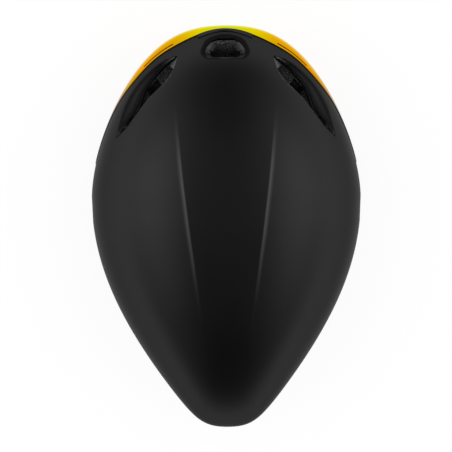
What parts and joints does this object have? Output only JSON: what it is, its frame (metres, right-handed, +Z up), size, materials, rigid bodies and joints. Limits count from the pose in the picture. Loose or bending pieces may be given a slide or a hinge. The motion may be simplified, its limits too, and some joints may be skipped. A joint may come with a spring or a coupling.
{
  "type": "aero time trial helmet",
  "caption": "Long-tailed aero time trial cycling helmet: smooth shell with three front vents, pull-off magnetic mirror visor, foam liner, dial head band and magnetic chin strap.",
  "frame": {"origin": "under the middle of the helmet, on the plane of the ear covers' flat lower edges", "axes": "+Z up through the crown, -Y to the front and visor, +Y to the tail, +X to the wearer's left"},
  "size_m": [0.2288, 0.341, 0.185],
  "materials": {
    "shell_black": "matt lacquered polycarbonate",
    "eps_foam": "moulded bead foam",
    "black_plastic": "fine grained moulding",
    "magnet_steel": "plated",
    "visor_mirror": "mirror coated, yellow green to orange to red",
    "pad_fabric": "brushed knit",
    "band_nylon": "satin nylon",
    "dial_rubber": "soft grip",
    "steel": "plain",
    "webbing": "woven polyester"
  },
  "bodies": {
    "helmet": {"brow_pad": "pad_fabric", "brow_trim": "shell_black", "buckle_base": "black_plastic", "buckle_magnet": "magnet_steel", "chin_pad": "pad_fabric", "exhaust_grille": "black_plastic", "foam_liner": "eps_foam", "height_track": "black_plastic", "left_chin_web": "webbing", "left_crown_pad": "pad_fabric", "left_ear_pad": "pad_fabric", "left_front_anchor": "black_plastic", "left_front_web": "webbing", "left_lever_pin": "steel", "left_rear_anchor": "black_plastic", "left_rear_web": "webbing", "left_strap_divider": "black_plastic", "left_temple_pad": "pad_fabric", "left_temple_socket": "black_plastic", "left_vent_scoop": "black_plastic", "outer_shell": "shell_black", "right_chin_web": "webbing", "right_crown_pad": "pad_fabric", "right_ear_pad": "pad_fabric", "right_front_anchor": "black_plastic", "right_front_web": "webbing", "right_lever_pin": "steel", "right_rear_anchor": "black_plastic", "right_rear_web": "webbing", "right_strap_divider": "black_plastic", "right_temple_pad": "pad_fabric", "right_temple_socket": "black_plastic", "right_vent_scoop": "black_plastic", "seat_magnets": "magnet_steel", "strap_tail": "webbing", "tail_panel": "shell_black", "visor_seat": "black_plastic"},
    "visor": {"visor_lens": "visor_mirror", "visor_magnets": "magnet_steel"},
    "cradle": {"cradle_yoke": "band_nylon", "yoke_cover": "band_nylon", "yoke_screws": "steel", "detent_spring": "steel", "left_nape_pad": "pad_fabric", "right_nape_pad": "pad_fabric"},
    "dial": {"dial_knob": "dial_rubber", "dial_pinion": "band_nylon"},
    "left_band": {"left_band_arm": "band_nylon", "left_temple_pin": "band_nylon"},
    "right_band": {"right_band_arm": "band_nylon", "right_temple_pin": "band_nylon"},
    "left_lever": {"left_cam_lever": "black_plastic"},
    "right_lever": {"right_cam_lever": "black_plastic"},
    "tongue": {"buckle_tongue": "black_plastic"},
    "keeper": {"strap_keeper": "dial_rubber"}
  },
  "joints": [
    {"name": "visor_pull", "type": "slide", "parent": "helmet", "child": "visor", "axis": [0, -1, 0], "range_m": [0, 0.04]},
    {"name": "cradle_height", "type": "hinge", "parent": "helmet", "child": "cradle", "pos_m": [0, -0.0351, 0.056], "axis": [1, 0, 0], "range_deg": [0, 5]},
    {"name": "dial_turn", "type": "hinge", "parent": "cradle", "child": "dial", "pos_m": [0, 0.05213, 0.034], "axis": [0, -1, 0], "range_deg": [0, 68]},
    {"name": "left_band_slide", "type": "slide", "parent": "cradle", "child": "left_band", "axis": [-1, 0, 0], "range_m": [0, 0.006]},
    {"name": "right_band_slide", "type": "slide", "parent": "cradle", "child": "right_band", "axis": [1, 0, 0], "range_m": [0, 0.006]},
    {"name": "left_lever_swing", "type": "hinge", "parent": "helmet", "child": "left_lever", "pos_m": [0.0893, -0.0231, 0.0165], "axis": [0, -1, 0], "range_deg": [0, 80]},
    {"name": "right_lever_swing", "type": "hinge", "parent": "helmet", "child": "right_lever", "pos_m": [-0.0893, -0.0231, 0.0165], "axis": [0, 1, 0], "range_deg": [0, 80]},
    {"name": "buckle_release", "type": "slide", "parent": "helmet", "child": "tongue", "axis": [0, 0, 1], "range_m": [0, 0.02]},
    {"name": "keeper_slide", "type": "slide", "parent": "helmet", "child": "keeper", "axis": [1, 0, 0], "range_m": [-0.014, 0.004]}
  ],
  "couplings": [
    {"joint": "left_band_slide", "follows": "dial_turn", "m_per_rad": 0.005},
    {"joint": "right_band_slide", "follows": "dial_turn", "m_per_rad": 0.005}
  ]
}
